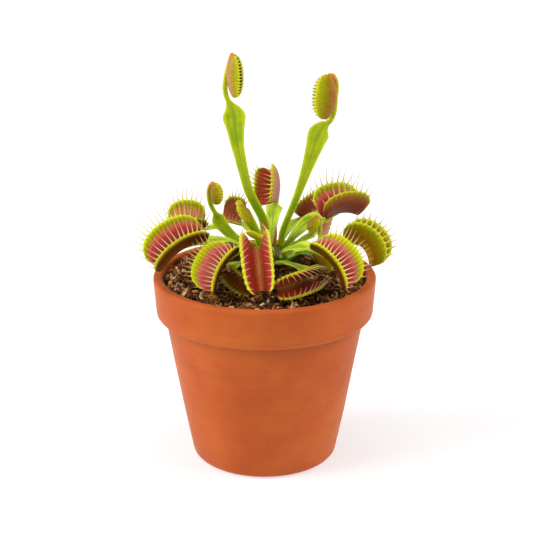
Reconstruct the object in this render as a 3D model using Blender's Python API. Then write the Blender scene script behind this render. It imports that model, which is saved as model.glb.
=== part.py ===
"""A potted Venus flytrap.

Dimensions are in millimetres, the scene is in metres, +Z is up and the pot stands on z = 0.
"""

import math
import random

import bmesh
import bpy
from mathutils import Vector

MM = 0.001
GAP = 0.3

# the pot: a plain flower pot with a deep collar
POT_HEIGHT = 86.0
RIM_RADIUS = 50.0
COLLAR_HEIGHT = 18.25
COLLAR_FOOT_RADIUS = 48.5
BODY_TOP_RADIUS = 44.8
FOOT_RADIUS = 32.9
MOUTH_RADIUS = 45.7
WALL = 4.6
FLOOR = 6.0
DRAIN_RADIUS = 6.0
POT_SIDES = 40

# the potting mix, mounded towards the crown
SOIL_AT_WALL = 82.5
SOIL_AT_CROWN = 87.2
SOIL_SIDES = 36
LUMP = 0.9

# the crown all the leaves grow from
CROWN = Vector((3.0, 6.0, 90.0))
CROWN_RADIUS = 7.5

# the leaves
SHEET = 0.9
BLADE = 1.1
KEEL = 1.9
NECK = 1.5
SHOULDER_DROP = 3.0
NECK_STEP = 3.5
SECTION = (
    (1.0, 0.12), (0.45, 0.45), (-0.45, 0.45), (-1.0, 0.12), (-0.5, -0.25), (0.0, -1.0), (0.5, -0.25),
)
ROWS = 12
LOBE_STEPS = 3
TOOTH = 7.5

COLOURS = {
    "terracotta": (0.50, 0.11, 0.024),
    "soil": (0.055, 0.028, 0.015),
    "leaf": (0.17, 0.35, 0.006),
    "young leaf": (0.42, 0.45, 0.006),
    "rhizome": (0.50, 0.42, 0.22),
    "bud": (0.38, 0.09, 0.02),
}


def clear_scene():
    for obj in list(bpy.data.objects):
        bpy.data.objects.remove(obj)


def material(name, rough=0.5):
    made = bpy.data.materials.get(name)
    if made is None:
        made = bpy.data.materials.new(name)
        made.use_nodes = True
        shader = made.node_tree.nodes["Principled BSDF"]
        shader.inputs["Base Color"].default_value = (*COLOURS[name], 1.0)
        shader.inputs["Roughness"].default_value = rough
    return made


def to_object(name, bm, mat, smooth=True):
    bmesh.ops.recalc_face_normals(bm, faces=bm.faces)
    bmesh.ops.scale(bm, vec=(MM, MM, MM), verts=bm.verts)
    for face in bm.faces:
        face.smooth = smooth
    mesh = bpy.data.meshes.new(name)
    bm.to_mesh(mesh)
    bm.free()
    mesh.materials.append(material(mat))
    obj = bpy.data.objects.new(name, mesh)
    bpy.context.scene.collection.objects.link(obj)
    return obj


def boolean(obj, other, operation):
    mod = obj.modifiers.new(operation.lower(), "BOOLEAN")
    mod.operation = operation
    mod.solver = "EXACT"
    mod.object = other
    other.hide_render = True
    other.display_type = "WIRE"


def bake(obj):
    """Applies the modifiers, so the helper objects they name can go."""
    helpers = [mod.object for mod in obj.modifiers if getattr(mod, "object", None)]
    evaluated = obj.evaluated_get(bpy.context.evaluated_depsgraph_get())
    mesh = bpy.data.meshes.new_from_object(evaluated)
    obj.modifiers.clear()
    obj.data = mesh
    for helper in helpers:
        bpy.data.objects.remove(helper)


def turned(name, profile, sides, mat, closed=True):
    """Turns a profile of (radius, height) points round the Z axis."""
    bm = bmesh.new()
    verts = [bm.verts.new((r, 0.0, z)) for r, z in profile]
    edges = [bm.edges.new(pair) for pair in zip(verts, verts[1:])]
    if closed:
        edges.append(bm.edges.new((verts[-1], verts[0])))
    bmesh.ops.spin(
        bm, geom=verts + edges, axis=(0, 0, 1), cent=(0, 0, 0),
        steps=sides, angle=math.tau, use_merge=True,
    )
    bmesh.ops.remove_doubles(bm, verts=bm.verts, dist=0.001)
    return to_object(name, bm, mat)


def body_radius(z):
    return FOOT_RADIUS + (BODY_TOP_RADIUS - FOOT_RADIUS) * z / (POT_HEIGHT - COLLAR_HEIGHT)


def inner_radius(z):
    shelf = POT_HEIGHT - COLLAR_HEIGHT
    if z > shelf + 2:
        return MOUTH_RADIUS - 0.05 * (POT_HEIGHT - z)
    if z > shelf - 3:
        low = body_radius(shelf - 3) - WALL
        high = MOUTH_RADIUS - 0.05 * (COLLAR_HEIGHT - 2)
        return low + (high - low) * (z - shelf + 3) / 5
    return body_radius(z) - WALL


def build_pot():
    top = POT_HEIGHT
    shelf = top - COLLAR_HEIGHT
    profile = [
        (DRAIN_RADIUS, 0.0),
        (FOOT_RADIUS - 2.5, 0.0),
        (FOOT_RADIUS - 0.8, 0.9),
        (body_radius(4.0), 4.0),
        (body_radius(shelf), shelf),
        (COLLAR_FOOT_RADIUS - 1.8, shelf),
        (COLLAR_FOOT_RADIUS - 0.4, shelf + 0.8),
        (COLLAR_FOOT_RADIUS + 0.1, shelf + 2.6),
        (RIM_RADIUS, top - 2.8),
        (RIM_RADIUS - 0.7, top - 0.9),
        (RIM_RADIUS - 2.0, top),
        (MOUTH_RADIUS + 0.8, top),
        (MOUTH_RADIUS, top - 0.9),
        (inner_radius(shelf + 2.01), shelf + 2),
        (inner_radius(shelf - 3), shelf - 3),
        (inner_radius(FLOOR + 3), FLOOR + 3),
        (inner_radius(FLOOR) - 3, FLOOR),
        (DRAIN_RADIUS, FLOOR),
    ]
    turned("terracotta_pot", profile, POT_SIDES, "terracotta")


def soil_height(r):
    t = min(r / inner_radius(SOIL_AT_WALL), 1.0)
    return SOIL_AT_WALL + (SOIL_AT_CROWN - SOIL_AT_WALL) * (1 - t ** 3)


def build_soil():
    shelf = POT_HEIGHT - COLLAR_HEIGHT
    profile = [(0.0, FLOOR + GAP)]
    profile.append((inner_radius(FLOOR) - 3 - GAP, FLOOR + GAP))
    for z in (FLOOR + 3.1, shelf - 3, shelf + 2.01, SOIL_AT_WALL - 3):
        profile.append((inner_radius(z) - GAP - 0.1, z))
    rings = [43.5, 38.0, 32.0, 26.0, 20.0, 13.5, 6.5]
    profile.append((inner_radius(SOIL_AT_WALL) - GAP - 0.1, SOIL_AT_WALL - 0.8))
    for r in rings:
        profile.append((r, soil_height(r)))
    profile.append((0.0, soil_height(0.0)))
    soil = turned("potting_mix", profile, SOIL_SIDES, "soil", closed=False)
    lumps = random.Random(6)
    for vert in soil.data.vertices:
        r = math.hypot(vert.co.x, vert.co.y) / MM
        if vert.co.z / MM > SOIL_AT_WALL - 0.1 and 1 < r < 43:
            vert.co.z += lumps.uniform(-LUMP, LUMP) * MM
            vert.co.x += lumps.uniform(-LUMP, LUMP) * MM
            vert.co.y += lumps.uniform(-LUMP, LUMP) * MM
    pocket = rhizome("pocket", GAP + 0.1)
    boolean(soil, pocket, "DIFFERENCE")
    bake(soil)


def rhizome(name, grow=0.0):
    """The bulb that carries the leaves, with its root stock running down into the mix."""
    profile = [
        (0.0, -52.0 - grow),
        (1.6 + grow, -50.0 - grow),
        (2.6 + grow, -30.0),
        (4.0 + grow, -14.0),
    ]
    for step in range(-2, 5):
        angle = step * math.pi / 10
        reach = CROWN_RADIUS + grow
        profile.append((reach * math.cos(angle), reach * math.sin(angle)))
    profile.append((0.0, CROWN_RADIUS + grow))
    bulb = turned(name, profile, 16, "rhizome", closed=False)
    for vert in bulb.data.vertices:
        vert.co += CROWN * MM
    return bulb


def crown_point(azimuth, elevation):
    a = math.radians(azimuth)
    e = math.radians(elevation)
    out = Vector((math.cos(a) * math.cos(e), math.sin(a) * math.cos(e), math.sin(e)))
    return CROWN + out * (CROWN_RADIUS + GAP + 0.1), out


def spline(points, steps=12):
    """Points and the length run so far along a Catmull-Rom curve."""
    ends = [points[0] * 2 - points[1], *points, points[-1] * 2 - points[-2]]
    curve = []
    for i in range(len(points) - 1):
        a, b, c, d = ends[i:i + 4]
        for k in range(steps):
            t = k / steps
            curve.append(
                (b * 2 + (c - a) * t + (a * 2 - b * 5 + c * 4 - d) * t * t
                 + (b * 3 - a - c * 3 + d) * t * t * t) / 2
            )
    curve.append(points[-1].copy())
    run = [0.0]
    for a, b in zip(curve, curve[1:]):
        run.append(run[-1] + (b - a).length)
    return curve, run


def point_at(curve, run, distance):
    for k in range(1, len(run)):
        if distance <= run[k] + 1e-6:
            t = (distance - run[k - 1]) / max(run[k] - run[k - 1], 1e-9)
            return curve[k - 1].lerp(curve[k], t)
    return curve[-1].copy()


def petiole_stations(total, widths, shoulder, stations, drop, swell):
    """Where along the petiole a section stands, and how wide it is there: broadest at the shoulder."""
    base, widest, neck = widths
    broad = (total - drop - 1.0) if shoulder is None else shoulder * total
    places = []
    for k in range(stations):
        t = k / (stations - 1)
        grown = t ** swell
        places.append((t * broad, base + grown * (widest - base)))
    places.append((broad + 0.5 * drop, 0.7 * widest))
    places.append((broad + drop, 1.25 * neck))
    left = total - broad - drop
    steps = max(1, round(left / NECK_STEP))
    for k in range(1, steps + 1):
        places.append((broad + drop + left * k / steps, neck))
    return places


def sweep(bm, samples, widths, face, depths):
    """Runs a flat section with a keel below it along the samples."""
    rings = []
    up = face
    for i, (point, width, depth) in enumerate(zip(samples, widths, depths)):
        before = samples[max(i - 1, 0)]
        after = samples[min(i + 1, len(samples) - 1)]
        along = (after - before).normalized()
        up = (up - along * up.dot(along)).normalized()
        side = along.cross(up)
        half = width / 2
        ring = []
        for x, z in SECTION:
            ring.append(bm.verts.new(point + side * (x * half) + up * (z * depth)))
        rings.append(ring)
    for low, high in zip(rings, rings[1:]):
        for j in range(len(low)):
            k = (j + 1) % len(low)
            bm.faces.new((low[j], low[k], high[k], high[j]))
    bm.faces.new(rings[0])
    bm.faces.new(rings[-1])
    bmesh.ops.recalc_face_normals(bm, faces=bm.faces)


def trap_axes(yaw, pitch, roll):
    """Along the midrib, out of the mouth, and across the lobes."""
    yaw, pitch, roll = (math.radians(v) for v in (yaw, pitch, roll))
    along = Vector((math.cos(yaw) * math.cos(pitch), math.sin(yaw) * math.cos(pitch), math.sin(pitch)))
    level = Vector((-math.cos(yaw) * math.sin(pitch), -math.sin(yaw) * math.sin(pitch), math.cos(pitch)))
    mouth = level * math.cos(roll) + level.cross(along) * math.sin(roll)
    return along, mouth, mouth.cross(along)


def lobe_point(trap, u, v):
    """A point of the open trap: u runs -1 to 1 along the midrib, v -1 to 1 from margin to margin."""
    along, mouth, across = trap["axes"]
    length = trap["length"]
    width = trap["width"] * (1 - 0.22 * abs(u) ** 3)
    near, far = (math.radians(a) for a in trap["opening"])
    fan = math.radians(trap["fan"]) * u
    out = up = 0.0
    steps = 12
    for k in range(steps):
        angle = near + (far - near) * (k + 0.5) / steps * abs(v)
        out += math.sin(angle) * abs(v) / steps
        up += math.cos(angle) * abs(v) / steps
    rise = along * math.sin(fan) + mouth * math.cos(fan)
    return (
        trap["base"] + along * (length * (u + 1) / 2) + mouth * (trap["arch"] * length * (1 - u * u))
        + rise * (width * up) + across * (math.copysign(width * out, v))
    )


def open_trap(trap, rows):
    """Two lobes bent from one grid, thickened, with a row of teeth drawn out of each margin."""
    bm = bmesh.new()
    columns = 2 * LOBE_STEPS
    bmesh.ops.create_grid(bm, x_segments=rows, y_segments=columns, size=1.0)
    places = [(vert.co.x, vert.co.y) for vert in bm.verts]
    for vert, (u, v) in zip(bm.verts, places):
        vert.co = lobe_point(trap, u, v)
    mesh = bpy.data.meshes.new("trap")
    bm.to_mesh(mesh)
    bm.free()
    obj = bpy.data.objects.new("trap", mesh)
    bpy.context.scene.collection.objects.link(obj)
    shell = obj.modifiers.new("sheet", "SOLIDIFY")
    shell.thickness = SHEET
    shell.offset = 0.0
    thick = bpy.data.meshes.new_from_object(obj.evaluated_get(bpy.context.evaluated_depsgraph_get()))
    bpy.data.objects.remove(obj)
    bm = bmesh.new()
    bm.from_mesh(thick)
    count = len(places)
    margins = []
    for face in bm.faces:
        spots = [places[vert.index % count] for vert in face.verts]
        if all(abs(v) > 0.999 for u, v in spots) and len({round(u, 3) for u, v in spots}) == 2:
            margins.append((face, sum(u for u, v in spots) / 4, spots[0][1]))
    across = trap["axes"][2]
    for face, u, v in margins:
        side = math.copysign(1.0, v)
        root = lobe_point(trap, u, side * 0.9)
        tip = lobe_point(trap, u, side)
        aim = ((tip - root).normalized() - across * (side * 0.25)).normalized()
        reach = TOOTH * (1 - 0.5 * abs(u) ** 2.5) * trap["teeth"]
        made = bmesh.ops.poke(bm, faces=[face])
        made["verts"][0].co = tip + aim * reach
    return bm


def closed_trap(trap, rows):
    """A shut young trap: a flattened pod with its mouth to one side."""
    along, mouth, across = trap["axes"]
    bm = bmesh.new()
    bmesh.ops.create_uvsphere(bm, u_segments=10, v_segments=rows, radius=1.0)
    rim = []
    for face in bm.faces:
        middle = face.calc_center_median()
        if len(face.verts) == 4 and middle.x > 0.3 and abs(middle.y) < 0.4 and abs(middle.z) < 0.8:
            rim.append((face, middle.copy()))
    length, width, thick = trap["length"], trap["width"], trap["thick"]

    def place(p):
        x = p.x * 0.62 if p.x > 0 else p.x * 0.36
        return (
            trap["base"] + along * (length * (p.z + 1) / 2) + mouth * (width * x)
            + across * (thick * p.y / 2)
        )

    for vert in bm.verts:
        vert.co = place(vert.co)
    for face, middle in rim:
        made = bmesh.ops.poke(bm, faces=[face])
        made["verts"][0].co += mouth * trap["teeth"]
    return bm


def bm_object(name, bm):
    bmesh.ops.recalc_face_normals(bm, faces=bm.faces)
    mesh = bpy.data.meshes.new(name)
    bm.to_mesh(mesh)
    bm.free()
    obj = bpy.data.objects.new(name, mesh)
    bpy.context.scene.collection.objects.link(obj)
    return obj


def leaf(name, azimuth, elevation, path, widths, trap, face=(0, 0, 1), mat="leaf", stations=6,
         rows=ROWS, shoulder=None, drop=SHOULDER_DROP, swell=1.6):
    """One leaf: a winged petiole from the crown and the trap at its end, grown as one piece."""
    start, out = crown_point(azimuth, elevation)
    along, mouth, across = trap["axes"]
    points = [start, start + out * 2.5, *(Vector(p) for p in path)]
    if trap["opening"] is not None:
        points.append(trap["base"] - mouth * 0.3)
        tail = [lobe_point(trap, -0.78, 0.0) - mouth * 0.35, lobe_point(trap, -0.5, 0.0) - mouth * 0.2]
        head = open_trap(trap, rows)
    else:
        points.append(trap["base"] + along * 0.4)
        tail = [trap["base"] + along * (0.2 * trap["length"])]
        head = closed_trap(trap, rows)
    curve, run = spline(points)
    places = petiole_stations(run[-1], widths, shoulder, stations, drop, swell)
    samples = [point_at(curve, run, distance) for distance, width in places] + tail
    across_widths = [width for distance, width in places] + [widths[2] * 0.8, widths[2] * 0.4][:len(tail)]
    depths = [BLADE + (KEEL - BLADE) * min(1.0, 2.2 / width) for distance, width in places]
    depths += [NECK * 0.6, NECK * 0.35][:len(tail)]
    bm = bmesh.new()
    sweep(bm, samples, across_widths, Vector(face).normalized(), depths)
    petiole = bm_object(name, bm)
    boolean(petiole, bm_object("trap", head), "UNION")
    bake(petiole)
    finish = bmesh.new()
    finish.from_mesh(petiole.data)
    bpy.data.objects.remove(petiole)
    return to_object(name, finish, mat)


def open_shape(base, turn, length, width, opening, fan, arch=0.12, teeth=1.0):
    return {
        "base": Vector(base), "axes": trap_axes(*turn), "length": length, "width": width,
        "opening": opening, "fan": fan, "arch": arch, "teeth": teeth,
    }


def closed_shape(base, turn, length, width, thick, teeth=0.6):
    return {
        "base": Vector(base), "axes": trap_axes(*turn), "length": length, "width": width,
        "thick": thick, "opening": None, "teeth": teeth,
    }


def build_open_leaves():
    leaf("leaf_far_left", 192, 15, [(-9.6, 0.8, 98.4), (-18, -3.5, 102.5)], (2.3, 9, 3),
         open_shape((-25.8, -7.6, 103.1), (-162, -30, 4), 23.2, 15.8, (62, 32), 27, 0.15, 1.2))
    leaf("leaf_left_rear", 160, 12, [(-10, 12.5, 96), (-19, 17, 101.5)], (2.3, 8, 2.6),
         open_shape((-27.7, 19, 101.4), (188, 0, 9), 14.6, 12.3, (72, 32), 20, 0.16))
    leaf("leaf_left_front", 241, 22, [(-3.5, -8, 98.5), (-7.5, -16.5, 103.5)], (2.3, 8, 2.8),
         open_shape((-11.3, -24, 103.9), (-141, -51, -10), 20.6, 13, (71, 33), 14, 0.15))
    leaf("leaf_front_centre", 272, 32, [(2.4, -8, 99.5), (0.2, -15, 102.8)], (2.3, 7.2, 2.8),
         open_shape((-3.1, -21.6, 104.5), (-83, -38, -10), 21.5, 12.8, (49, 11), 41, 0.14, 0.8))
    leaf("leaf_low_right", 290, 10, [(9, -8, 93.5), (15.5, -16.5, 94)], (2.3, 8, 2.6),
         open_shape((20.4, -20.4, 91.2), (223, -2, 70.6), 20.8, 8.5, (75, 3), 50, 0.1, 0.9))
    leaf("leaf_low_left", 218, 6, [(-6.5, -5, 92.5), (-12, -14.5, 95.2)], (2.2, 6, 2.4),
         open_shape((-15, -23.3, 95.4), (-33, -29, -79), 13.8, 5.8, (62, 28), 18, 0.05, 0.5))
    leaf("leaf_right_front", 311, 26, [(9, -5, 98), (15, -14.5, 103)], (2.3, 8, 2.8),
         open_shape((19.9, -20, 104), (-30, -44, 1), 22.6, 12.8, (66, 27), 14, 0.16),
         face=(0, -0.4, 0.9))
    leaf("leaf_far_right", 352, 14, [(15, 5, 95), (26.5, 4.8, 99)], (2.3, 5.5, 2.8),
         open_shape((35, 5.5, 98.8), (-23, -38, 10), 16.5, 13.6, (54, 2), 29, 0.26, 0.7))
    leaf("leaf_right_rear", 26, 38, [(14, 12.5, 100.5), (20, 15, 105)], (2.3, 9, 2.8),
         open_shape((27.6, 15.8, 106), (20, 1, 2), 16, 15.4, (53, 21), 28, 0.14, 1.1),
         face=(0, -0.7, 0.7))
    leaf("leaf_rear_centre", 92, 44, [(3.4, 18, 101), (4.2, 25.5, 107.2)], (2.3, 8, 2.6),
         open_shape((5, 30.6, 109.6), (84, 61, 48), 15, 12, (56, 14), 18, -0.12, 0.8),
         face=(0, -1, 0.3))
    leaf("leaf_rear_left", 128, 34, [(-4, 16.5, 98), (-8, 20.8, 101)], (2.2, 5, 2.2),
         open_shape((-10.9, 23.5, 102.4), (180, 15, 37), 8.8, 11, (58, 26), 8, 0.06, 0.8))
    leaf("leaf_rear_right", 60, 34, [(9.5, 19, 98.5), (14, 26, 101.5)], (2.2, 6, 2.4),
         open_shape((17, 32, 101.8), (26, 30, -42), 12, 7.4, (58, 18), 25, 0.1, 0.7))
    leaf("leaf_back_right", 40, 8, [(12, 18, 92.5), (19.5, 25.5, 94)], (2.3, 6, 2.4),
         open_shape((24, 29, 96), (50, 64, 150), 11, 9, (45, 15), 25, 0.1, 0.7))
    leaf("leaf_low_far_right", 332, 8, [(13, 0.5, 93), (17, -2, 96)], (2.2, 5, 2.2),
         open_shape((20.5, -4.5, 96), (-40, -50, 60), 9, 7, (45, 5), 25, 0.1, 0.5), rows=10)


def build_young_leaves():
    leaf("leaf_tall_left", 125, 62,
         [(-0.6, 9.6, 108), (-6.9, 10, 121.2), (-10.5, 10.8, 135.3), (-12.2, 11.5, 144.2), (-13.5, 12, 155.4),
          (-15, 12.3, 159.8), (-16.6, 12.4, 163.3), (-17.3, 12.5, 167.3), (-16.7, 12.4, 172.6),
          (-15.6, 12, 177.1), (-14.1, 11, 181.5)],
         (4.2, 10.6, 2.4), closed_shape((-13.9, 9.6, 182.8), (0, -89, -32), 19.2, 8.3, 4.2),
         face=(0, -1, 0.1), mat="young leaf", stations=12, rows=12, shoulder=0.67, drop=7, swell=5.5)
    leaf("leaf_tall_right", 25, 60,
         [(8.5, 8, 104), (14.5, 8.5, 119.3), (18.6, 9.5, 131), (21.5, 10.5, 139.9), (23.8, 11.2, 147),
          (26, 11.6, 150.5), (29.1, 12, 152.9), (30.7, 12, 157.6), (31, 12, 163), (31.4, 11.6, 168.4),
          (30.1, 11, 172.5)],
         (3, 9.8, 2.6), closed_shape((28.4, 9.4, 173.9), (240, -82, -60), 19.7, 11.2, 4.8, 1.6),
         face=(0, -1, 0.1), mat="young leaf", stations=12, rows=12, shoulder=0.635, drop=6.5, swell=3.4)
    leaf("leaf_curled_left", 172, 42,
         [(-11.4, 5.5, 99.5), (-18.3, 7, 105.2), (-22.5, 8, 112.3), (-24.4, 8, 117),
          (-24.8, 8, 122), (-23.4, 7.6, 125.2)],
         (2.6, 6.4, 2.2), closed_shape((-22.6, 5.6, 126.2), (-60, -84, 40), 9.8, 6.4, 3.6, 0.0),
         face=(0.2, -1, 0.4), mat="young leaf", rows=8, shoulder=0.55)
    leaf("leaf_curled_centre", 190, 56,
         [(-3.2, 3.6, 103), (-6, 1.8, 109), (-9.6, 0.4, 115.2), (-11.4, -1.2, 119)],
         (3, 5.6, 3), closed_shape((-10.9, -3.6, 119.2), (-10, -52, -138), 9, 5.2, 3.2, 0.0),
         face=(0, -1, 0.3), mat="young leaf", rows=8, shoulder=0.7)
    leaf("leaf_curled_right", 13, 10,
         [(13.5, 9.6, 92.2), (19.8, 10.8, 93.2), (24.2, 10.6, 97.4), (25, 10, 103), (24.6, 9.7, 107.4)],
         (2.3, 4.6, 2.4), closed_shape((23.1, 8, 109.9), (-159, -53, 147), 7, 5, 3, 0.0),
         mat="young leaf", rows=8, shoulder=0.6)
    leaf("leaf_curled_front", 246, 50,
         [(-1.2, -3.8, 102), (0.2, -9.5, 106), (0.9, -13.6, 107)],
         (2.4, 4, 1.8), closed_shape((-0.6, -15.5, 106.3), (-161, 31, 46), 9, 3.8, 2.6, 0.0),
         mat="young leaf", rows=8, shoulder=0.7)


def bud(name, azimuth, elevation, length, width, lean):
    """A shoot that has not opened: a narrow tapered finger standing on the crown."""
    start, out = crown_point(azimuth, elevation)
    tip = Vector(lean).normalized()
    samples = [start + out.lerp(tip, t) * (length * t) for t in (0, 0.25, 0.5, 0.8, 1)]
    widths = [width * w for w in (0.7, 0.9, 1.0, 0.8, 0.3)]
    bm = bmesh.new()
    sweep(bm, samples, widths, Vector((0, -1, 0.2)), [width * 0.4] * 5)
    finger = bm_object("finger", bm)
    finish = bmesh.new()
    finish.from_mesh(finger.data)
    bpy.data.objects.remove(finger)
    to_object(name, finish, "bud")


def build_buds():
    bud("bud_tall", 150, 84, 12.5, 2.1, (-0.22, 0, 1))
    bud("bud_middle", 225, 68, 9.5, 2.3, (-0.2, -0.15, 1))
    bud("bud_right", 330, 78, 10, 2, (0.1, 0, 1))


def main():
    clear_scene()
    build_pot()
    build_soil()
    rhizome("rhizome")
    build_open_leaves()
    build_young_leaves()
    build_buds()


main()
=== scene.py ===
"""A Venus flytrap in a terracotta pot: the plant as it grows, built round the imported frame.

Shapes are worked out in millimetres, in the frame's axes, and go into the scene in metres.
"""

import math
import random

import bmesh
import bpy
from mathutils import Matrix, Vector, noise


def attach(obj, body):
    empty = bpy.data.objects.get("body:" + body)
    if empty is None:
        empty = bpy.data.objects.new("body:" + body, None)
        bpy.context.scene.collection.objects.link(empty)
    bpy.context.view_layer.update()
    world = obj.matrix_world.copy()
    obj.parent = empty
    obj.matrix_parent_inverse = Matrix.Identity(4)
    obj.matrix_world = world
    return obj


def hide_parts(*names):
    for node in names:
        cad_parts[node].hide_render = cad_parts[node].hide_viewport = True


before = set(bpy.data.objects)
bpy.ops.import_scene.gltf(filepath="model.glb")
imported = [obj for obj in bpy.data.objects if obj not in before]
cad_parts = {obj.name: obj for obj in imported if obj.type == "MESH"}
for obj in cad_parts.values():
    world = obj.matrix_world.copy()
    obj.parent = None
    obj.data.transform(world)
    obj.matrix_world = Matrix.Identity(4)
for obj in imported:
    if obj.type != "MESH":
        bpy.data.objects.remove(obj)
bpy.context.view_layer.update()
MM = 0.001

# the pot and its filling: heights, radii and thicknesses, in mm
POT_HEIGHT = 86.0
RIM_RADIUS = 50.0
COLLAR_HEIGHT = 18.25
COLLAR_FOOT_RADIUS = 48.5
BODY_TOP_RADIUS = 44.8
FOOT_RADIUS = 32.9
MOUTH_RADIUS = 45.7
WALL = 4.6
FLOOR = 6.0
DRAIN_RADIUS = 6.0
SOIL_AT_WALL = 82.5
SOIL_AT_CROWN = 87.2

# the depth from a trap's margin, in mm, that the colours of its flesh run to
DEEPEST_FLESH = 12.0


# ---------------------------------------------------------------- small helpers


def colour(text):
    """An sRGB hex value as the linear colour the shaders use."""
    parts = [int(text[i:i + 2], 16) / 255 for i in (1, 3, 5)]
    return (*[c / 12.92 if c <= 0.04045 else ((c + 0.055) / 1.055) ** 2.4 for c in parts], 1.0)


def smooth(low, high, x):
    t = min(max((x - low) / (high - low), 0.0), 1.0)
    return t * t * (3 - 2 * t)


def new_material(name, constants):
    """A material and its own Principled shader, with the sockets that hold one value all over."""
    made = bpy.data.materials.new(name)
    made.use_nodes = True
    shader = made.node_tree.nodes["Principled BSDF"]
    for socket, value in constants.items():
        shader.inputs[socket].default_value = value
    return made, shader


def add(mat, kind, inputs=None, stops=None, **settings):
    """Adds one node with its settings, its input values or links, and a ramp's stops in sRGB hex."""
    node = mat.node_tree.nodes.new(kind)
    for name, value in settings.items():
        setattr(node, name, value)
    for name, value in (inputs or {}).items():
        if isinstance(value, bpy.types.NodeSocket):
            mat.node_tree.links.new(value, node.inputs[name])
        else:
            node.inputs[name].default_value = value
    if stops:
        ramp = node.color_ramp
        while len(ramp.elements) < len(stops):
            ramp.elements.new(0.5)
        for element, (place, tint) in zip(ramp.elements, stops):
            element.position = place
            element.color = colour(tint)
    return node


def plug(mat, source, shader, socket):
    mat.node_tree.links.new(source, shader.inputs[socket])


def relief(mat, shader, height, strength, deep):
    """Lets a pattern stand out of the surface; deep is the distance in metres."""
    bump = add(mat, "ShaderNodeBump", {"Height": height, "Strength": strength, "Distance": deep})
    plug(mat, bump.outputs["Normal"], shader, "Normal")


def blush_over(mat, skin_colour, rust):
    """Turns a skin toward its rust colour, as far as each point of the piece says."""
    blush = add(mat, "ShaderNodeAttribute", attribute_name="blush")
    return add(mat, "ShaderNodeMix", {"Factor": blush.outputs["Fac"], "A": skin_colour, "B": colour(rust)},
               data_type="RGBA").outputs["Result"]


def finish_piece(name, bm, mats, nodes=(), smooth_faces=True):
    """Turns a bmesh drawn in millimetres into a piece that rides on the root body."""
    bmesh.ops.scale(bm, vec=(MM, MM, MM), verts=bm.verts)
    for face in bm.faces:
        face.smooth = smooth_faces
    mesh = bpy.data.meshes.new(name)
    bm.to_mesh(mesh)
    bm.free()
    for mat in mats:
        mesh.materials.append(mat)
    piece = bpy.data.objects.new(name, mesh)
    bpy.context.scene.collection.objects.link(piece)
    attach(piece, "root")
    if nodes:
        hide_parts(*nodes)


# ---------------------------------------------------------------- materials


def terracotta():
    """Unglazed fired clay: matte orange, with sparse dark grit, faint turning marks and a dusty skin."""
    mat, shader = new_material("fired_terracotta", {
        "Roughness": 0.65, "IOR": 1.5, "Specular IOR Level": 0.3, "Specular Tint": (1.0, 0.8, 0.6, 1.0),
        # bare clay scatters light where it turns away
        "Sheen Weight": 0.35, "Sheen Roughness": 0.3, "Sheen Tint": (1.0, 0.72, 0.5, 1.0)})
    where = add(mat, "ShaderNodeTexCoord").outputs["Object"]
    cloud = add(mat, "ShaderNodeTexNoise", {"Vector": where, "Scale": 28.0, "Detail": 5.0, "Roughness": 0.6})
    body = add(mat, "ShaderNodeValToRGB", {"Fac": cloud.outputs["Fac"]}, stops=[
        (0.30, "#ad4b1a"), (0.50, "#b9541e"), (0.72, "#c46227")])
    # turning marks run level round the pot, about 3 mm apart
    squeezed = add(mat, "ShaderNodeMapping", {"Vector": where, "Scale": (6.0, 6.0, 330.0)})
    streak = add(mat, "ShaderNodeTexNoise", {
        "Vector": squeezed.outputs["Vector"], "Scale": 1.0, "Detail": 3.0})
    streaks = add(mat, "ShaderNodeValToRGB", {"Fac": streak.outputs["Fac"]}, stops=[
        (0.35, "#b4b4b4"), (0.65, "#c6c6c6")])
    banded = add(mat, "ShaderNodeMix", {
        "Factor": 0.28, "A": body.outputs["Color"], "B": streaks.outputs["Color"]},
                 data_type="RGBA", blend_type="OVERLAY")
    # dark grit about 0.6 mm across, sparse
    grit = add(mat, "ShaderNodeTexVoronoi", {"Vector": where, "Scale": 520.0})
    rare = add(mat, "ShaderNodeTexNoise", {"Vector": where, "Scale": 260.0, "Detail": 1.0})
    speck = add(mat, "ShaderNodeMath", {0: grit.outputs["Distance"], 1: 0.16}, operation="LESS_THAN")
    sparse = add(mat, "ShaderNodeMath", {0: rare.outputs["Fac"], 1: 0.69}, operation="GREATER_THAN")
    spots = add(mat, "ShaderNodeMath", {0: speck.outputs["Value"], 1: sparse.outputs["Value"]},
                operation="MULTIPLY")
    dotted = add(mat, "ShaderNodeMix", {
        "Factor": spots.outputs["Value"], "A": banded.outputs["Result"], "B": colour("#7d4426")},
                 data_type="RGBA")
    # painted shade: a band of the clay just under the collar is darkened, as the collar's shadow
    place = add(mat, "ShaderNodeSeparateXYZ", {"Vector": where})
    shelf = (POT_HEIGHT - COLLAR_HEIGHT) * MM
    below = add(mat, "ShaderNodeMapRange", {
        "Value": place.outputs["Z"], "From Min": shelf - 0.006, "From Max": shelf,
        "To Min": 0.0, "To Max": 0.34})
    over = add(mat, "ShaderNodeMapRange", {
        "Value": place.outputs["Z"], "From Min": shelf + 0.0002, "From Max": shelf + 0.0009,
        "To Min": 1.0, "To Max": 0.0})
    collar_shadow = add(mat, "ShaderNodeMath", {0: below.outputs["Result"], 1: over.outputs["Result"]},
                operation="MULTIPLY")
    shadowed_clay = add(mat, "ShaderNodeMix", {
        "Factor": collar_shadow.outputs["Value"], "A": dotted.outputs["Result"], "B": colour("#7a3410")},
                data_type="RGBA")
    plug(mat, shadowed_clay.outputs["Result"], shader, "Base Color")
    grain = add(mat, "ShaderNodeTexNoise", {"Vector": where, "Scale": 900.0, "Detail": 4.0})
    heights = add(mat, "ShaderNodeMath", {0: grain.outputs["Fac"], 1: streak.outputs["Fac"]}, operation="ADD")
    relief(mat, shader, heights.outputs["Value"], 0.22, 0.0006)
    return mat


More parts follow.
